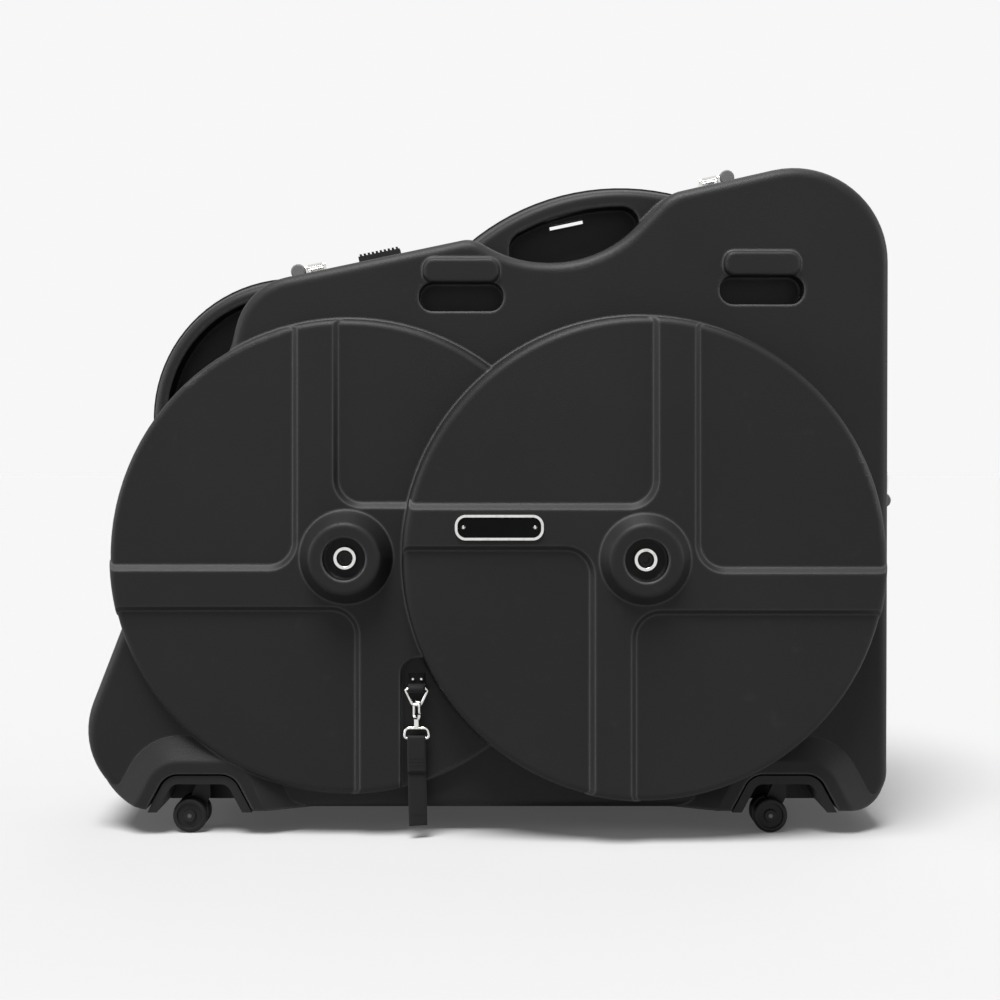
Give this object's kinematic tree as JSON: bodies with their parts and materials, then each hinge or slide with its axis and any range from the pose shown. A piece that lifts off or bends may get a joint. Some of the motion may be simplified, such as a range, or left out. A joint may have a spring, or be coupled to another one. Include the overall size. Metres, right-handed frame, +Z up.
{
  "type": "bike travel case",
  "caption": "Moulded clamshell case for flying with a bicycle, with overlapping wheel dishes, carrying handles, latches and swivel casters",
  "frame": {"origin": "on the floor under the middle of the closed case", "axes": "+X along the length to the viewer's right of the dished half, -Y out of the dished half, +Z up"},
  "size_m": [1.1819, 0.397, 0.9641],
  "materials": {
    "shell": "moulded black plastic with a fine leather-like texture",
    "seal": "matt black rubber",
    "housing": "smooth black plastic",
    "fork": "black nylon",
    "wheel": "black polyurethane tread",
    "steel": "zinc plated",
    "chrome": "bright nickel plate",
    "skewer": "black anodised",
    "lock": "grey plastic",
    "badge": "gloss black, bare",
    "webbing": "woven polyester webbing",
    "foam": "closed cell foam",
    "buckle": "black nylon"
  },
  "bodies": {
    "root": {"back_shell": "shell", "rim_seal": "seal", "hinge_leaves_back": "steel", "hinge_pins": "steel", "latch_keepers": "chrome", "back_foam": "foam", "tie_straps": "webbing", "tie_buckles": "buckle", "caster_housing_back_left": "housing", "caster_housing_back_right": "housing"},
    "lid": {"front_shell": "shell", "top_bumper": "seal", "hinge_leaves_front": "steel", "latch_bases": "chrome", "latch_pins": "steel", "lock_barrels": "lock", "badge_frame": "chrome", "badge_plate": "badge", "badge_rivets": "chrome", "strap_anchor": "webbing", "anchor_rivets": "chrome", "hub_ring_left": "chrome", "hub_ring_right": "chrome", "caster_housing_front_left": "housing", "caster_housing_front_right": "housing"},
    "caster_front_left": {"caster_fork_front_left": "fork", "caster_axle_front_left": "steel"},
    "wheels_front_left": {"caster_wheels_front_left": "wheel"},
    "caster_front_right": {"caster_fork_front_right": "fork", "caster_axle_front_right": "steel"},
    "wheels_front_right": {"caster_wheels_front_right": "wheel"},
    "caster_back_left": {"caster_fork_back_left": "fork", "caster_axle_back_left": "steel"},
    "wheels_back_left": {"caster_wheels_back_left": "wheel"},
    "caster_back_right": {"caster_fork_back_right": "fork", "caster_axle_back_right": "steel"},
    "wheels_back_right": {"caster_wheels_back_right": "wheel"},
    "skewer_left": {"skewer_left": "skewer", "hub_cone_left": "skewer"},
    "skewer_right": {"skewer_right": "skewer", "hub_cone_right": "skewer"},
    "latch_top": {"latch_lever_top": "chrome"},
    "latch_shoulder": {"latch_lever_shoulder": "chrome"},
    "latch_side": {"latch_lever_side": "chrome"},
    "ring": {"triangle_ring": "chrome"},
    "hook": {"snap_hook": "chrome"},
    "gate": {"hook_gate": "chrome"},
    "d_ring": {"d_ring": "chrome"},
    "strap": {"pull_strap": "webbing"}
  },
  "joints": [
    {"name": "lid_hinge", "type": "hinge", "parent": "root", "child": "lid", "pos_m": [0, 0.0165, 0.0215], "axis": [1, 0, 0], "range_deg": [0, 110]},
    {"name": "swivel_front_left", "type": "hinge", "parent": "lid", "child": "caster_front_left", "pos_m": [-0.41795, -0.0815, 0.07], "axis": [0, 0, 1], "continuous": true},
    {"name": "roll_front_left", "type": "hinge", "parent": "caster_front_left", "child": "wheels_front_left", "pos_m": [-0.43495, -0.0815, 0.0246], "axis": [0, 1, 0], "continuous": true},
    {"name": "swivel_front_right", "type": "hinge", "parent": "lid", "child": "caster_front_right", "pos_m": [0.41105, -0.0815, 0.07], "axis": [0, 0, 1], "continuous": true},
    {"name": "roll_front_right", "type": "hinge", "parent": "caster_front_right", "child": "wheels_front_right", "pos_m": [0.39405, -0.0815, 0.0246], "axis": [0, 1, 0], "continuous": true},
    {"name": "swivel_back_left", "type": "hinge", "parent": "root", "child": "caster_back_left", "pos_m": [-0.41795, 0.1595, 0.07], "axis": [0, 0, 1], "continuous": true},
    {"name": "roll_back_left", "type": "hinge", "parent": "caster_back_left", "child": "wheels_back_left", "pos_m": [-0.43495, 0.1595, 0.0246], "axis": [0, 1, 0], "continuous": true},
    {"name": "swivel_back_right", "type": "hinge", "parent": "root", "child": "caster_back_right", "pos_m": [0.41105, 0.1595, 0.07], "axis": [0, 0, 1], "continuous": true},
    {"name": "roll_back_right", "type": "hinge", "parent": "caster_back_right", "child": "wheels_back_right", "pos_m": [0.39405, 0.1595, 0.0246], "axis": [0, 1, 0], "continuous": true},
    {"name": "skewer_turn_left", "type": "hinge", "parent": "lid", "child": "skewer_left", "pos_m": [-0.20845, -0.12, 0.396], "axis": [0, 1, 0], "continuous": true},
    {"name": "skewer_turn_right", "type": "hinge", "parent": "lid", "child": "skewer_right", "pos_m": [0.20755, -0.12, 0.396], "axis": [0, 1, 0], "continuous": true},
    {"name": "latch_lift_top", "type": "hinge", "parent": "lid", "child": "latch_top", "pos_m": [-0.26622, -0.0105, 0.81929], "axis": [0.9788, 0, 0.2049], "range_deg": [0, 100]},
    {"name": "latch_lift_shoulder", "type": "hinge", "parent": "lid", "child": "latch_shoulder", "pos_m": [0.32009, -0.0105, 0.94813], "axis": [0.9753, 0, 0.2208], "range_deg": [0, 100]},
    {"name": "latch_lift_side", "type": "hinge", "parent": "lid", "child": "latch_side", "pos_m": [0.58105, -0.0105, 0.49871], "axis": [-0.003, 0, -1], "range_deg": [0, 100]},
    {"name": "ring_swing", "type": "hinge", "parent": "lid", "child": "ring", "pos_m": [-0.10945, -0.1345, 0.211], "axis": [1, 0, 0], "range_deg": [-70, 0]},
    {"name": "hook_swing", "type": "hinge", "parent": "ring", "child": "hook", "pos_m": [-0.10945, -0.1345, 0.189], "axis": [1, 0, 0], "range_deg": [-30, 0]},
    {"name": "gate_press", "type": "hinge", "parent": "hook", "child": "gate", "pos_m": [-0.10543, -0.14023, 0.1781], "axis": [-0.8191, -0.5736, 0], "range_deg": [0, 18], "stiffness_Nm_per_rad": 0.02},
    {"name": "hook_swivel", "type": "hinge", "parent": "hook", "child": "d_ring", "pos_m": [-0.10945, -0.1345, 0.158], "axis": [0, 0, 1], "range_deg": [-40, 40]},
    {"name": "strap_swing", "type": "hinge", "parent": "d_ring", "child": "strap", "pos_m": [-0.10945, -0.1345, 0.142], "axis": [1, 0, 0], "range_deg": [-60, 0]}
  ]
}
